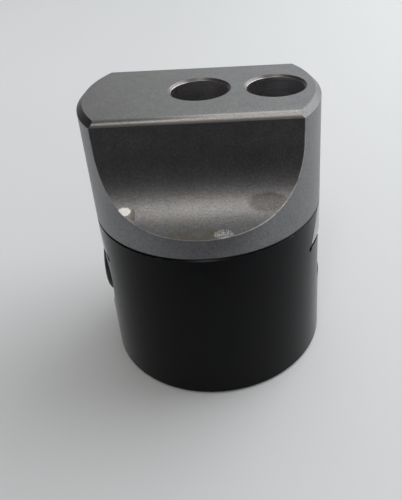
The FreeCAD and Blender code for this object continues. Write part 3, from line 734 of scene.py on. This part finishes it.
def add_dark_card():
    """A dim card in front of the head, for its reflections only: a dimly glowing sheet of painted shade,
    as the dark side of a room.
    """
    mesh = bpy.data.meshes.new("dark_card")
    half = CARD_HALF_WIDTH * HEAD_RADIUS
    bends = [(y * HEAD_RADIUS * MM, z * HEAD_RADIUS * MM) for y, z in CARD_BENDS]
    points = [(side * half * MM, y, z) for y, z in bends for side in (-1, 1)]
    faces = [(i, i + 1, i + 3, i + 2) for i in range(0, len(points) - 2, 2)]
    mesh.from_pydata(points, [], faces)
    card = bpy.data.objects.new("dark_card", mesh)
    material, n = new_material("dark_card")
    x, y, _ = n.split(n.place())
    near_edge = CARD_BENDS[0][0] * HEAD_RADIUS
    solid = y.rise(near_edge, near_edge - 0.9 * HEAD_RADIUS) * abs(x).rise(half, half * 0.5)
    dim = n.node("ShaderNodeEmission", inputs={"Color": (0.115, 0.112, 0.118, 1.0)})
    clear = n.node("ShaderNodeBsdfTransparent")
    shader = n.node("ShaderNodeMixShader", inputs={0: solid, 1: clear, 2: dim})
    n.node("ShaderNodeOutputMaterial", inputs={"Surface": shader})
    card.data.materials.append(material)
    card.visible_camera = False
    card.visible_diffuse = False
    card.visible_shadow = False
    bpy.context.scene.collection.objects.link(card)


def add_floor():
    """A wide pale floor under the head."""
    mesh = bpy.data.meshes.new("floor")
    points = [(x * FLOOR_REACH, y * FLOOR_REACH, 0) for x, y in ((-1, -1), (1, -1), (1, 1), (-1, 1))]
    mesh.from_pydata(points, [], [(0, 1, 2, 3)])
    floor = bpy.data.objects.new("floor", mesh)
    floor.data.materials.append(floor_finish())
    bpy.context.scene.collection.objects.link(floor)


# ---------------------------------------------------------------- operators


class HEAD_OT_stage(bpy.types.Operator):
    """Sets the floor, the room, the lights and the camera."""

    bl_idname = "head.stage"
    bl_label = "Stage"

    def execute(self, context):
        stage = context.scene.head_stage
        context.scene.view_settings.view_transform = "Standard"
        add_floor()
        add_dark_card()
        add_room()
        add_soft_light("ceiling_panel", PANEL_PLACE, PANEL_SIZE, stage.panel_power, WARM_LIGHT)
        add_soft_light("window", WINDOW_PLACE, WINDOW_SIZE, stage.window_power, COOL_LIGHT)
        add_camera()
        return {"FINISHED"}


class HEAD_OT_slide(bpy.types.Operator):
    """Finishes the tool slide and its gib."""

    bl_idname = "head.slide"
    bl_label = "Tool slide"

    def execute(self, context):
        colours = context.scene.head_colours
        dress("tool_slide", blasted_steel())
        ground = plain_metal("ground_steel", colours.ground_steel, 0.30, 0.12, (0.06, 1.0, 1.0))
        for node in ("gib", "nut_pin"):
            dress(node, ground)
        return {"FINISHED"}


class HEAD_OT_body(bpy.types.Operator):
    """Finishes the body."""

    bl_idname = "head.body"
    bl_label = "Body"

    def execute(self, context):
        dress("body", black_oxide())
        return {"FINISHED"}


class HEAD_OT_dial(bpy.types.Operator):
    """Finishes the dial."""

    bl_idname = "head.dial"
    bl_label = "Dial"

    def execute(self, context):
        dress("dial", dial_black())
        return {"FINISHED"}


class HEAD_OT_marks(bpy.types.Operator):
    """Engraves the dial and its index line."""

    bl_idname = "head.marks"
    bl_label = "Dial marks"

    def execute(self, context):
        add_dial_marks()
        return {"FINISHED"}


class HEAD_OT_arbor_thread(bpy.types.Operator):
    """Cuts the thread of the arbor bore."""

    bl_idname = "head.arbor_thread"
    bl_label = "Arbor thread"

    def execute(self, context):
        add_arbor_thread()
        return {"FINISHED"}


class HEAD_OT_screws(bpy.types.Operator):
    """Finishes the set screws and the lead screw."""

    bl_idname = "head.screws"
    bl_label = "Screws"

    def execute(self, context):
        colours = context.scene.head_colours
        black = plain_metal("screw_steel", colours.screw_black, 0.34, 0.10, (1.0, 1.0, 1.0), 0.0)
        for node in NODES:
            if "screw" in node and node not in ("lead_screw", "lead_screw_bush"):
                dress(node, black)
        dress("lead_screw", plain_metal("lead_steel", colours.spring_steel, 0.30, 0.10, (1.0, 0.1, 0.1)))
        return {"FINISHED"}


class HEAD_OT_inner_parts(bpy.types.Operator):
    """Finishes the bronze and spring steel parts inside."""

    bl_idname = "head.inner_parts"
    bl_label = "Inner parts"

    def execute(self, context):
        colours = context.scene.head_colours
        bronze = plain_metal("bronze", colours.bronze, 0.32, 0.14, (1.0, 0.08, 0.08))
        for node in ("lead_screw_bush", "outer_thrust_washer", "inner_thrust_washer", "lead_nut",
                     "slide_lock_pad", "arbor_lock_pad"):
            dress(node, bronze)
        spring = plain_metal("spring_steel", colours.spring_steel, 0.28, 0.10, (1.0, 1.0, 1.0))
        for node in ("wave_washer", "retaining_ring"):
            dress(node, spring)
        return {"FINISHED"}


STEPS = (HEAD_OT_stage, HEAD_OT_slide, HEAD_OT_body, HEAD_OT_dial, HEAD_OT_marks,
         HEAD_OT_arbor_thread, HEAD_OT_screws, HEAD_OT_inner_parts)


class HEAD_PT_panel(bpy.types.Panel):
    """The head's finishes, in the sidebar."""

    bl_idname = "HEAD_PT_panel"
    bl_label = "Boring head"
    bl_space_type = "VIEW_3D"
    bl_region_type = "UI"
    bl_category = "Boring head"

    def draw(self, context):
        for step in STEPS:
            self.layout.operator(step.bl_idname)


CLASSES = (HeadColours, HeadStage, *STEPS, HEAD_PT_panel)


def register():
    for item in CLASSES:
        bpy.utils.register_class(item)
    bpy.types.Scene.head_colours = bpy.props.PointerProperty(type=HeadColours)
    bpy.types.Scene.head_stage = bpy.props.PointerProperty(type=HeadStage)


def unregister():
    del bpy.types.Scene.head_stage
    del bpy.types.Scene.head_colours
    for item in reversed(CLASSES):
        bpy.utils.unregister_class(item)


def main():
    register()
    for step in STEPS:
        group, name = step.bl_idname.split(".")
        getattr(getattr(bpy.ops, group), name)()


if __name__ == "__main__":
    main()
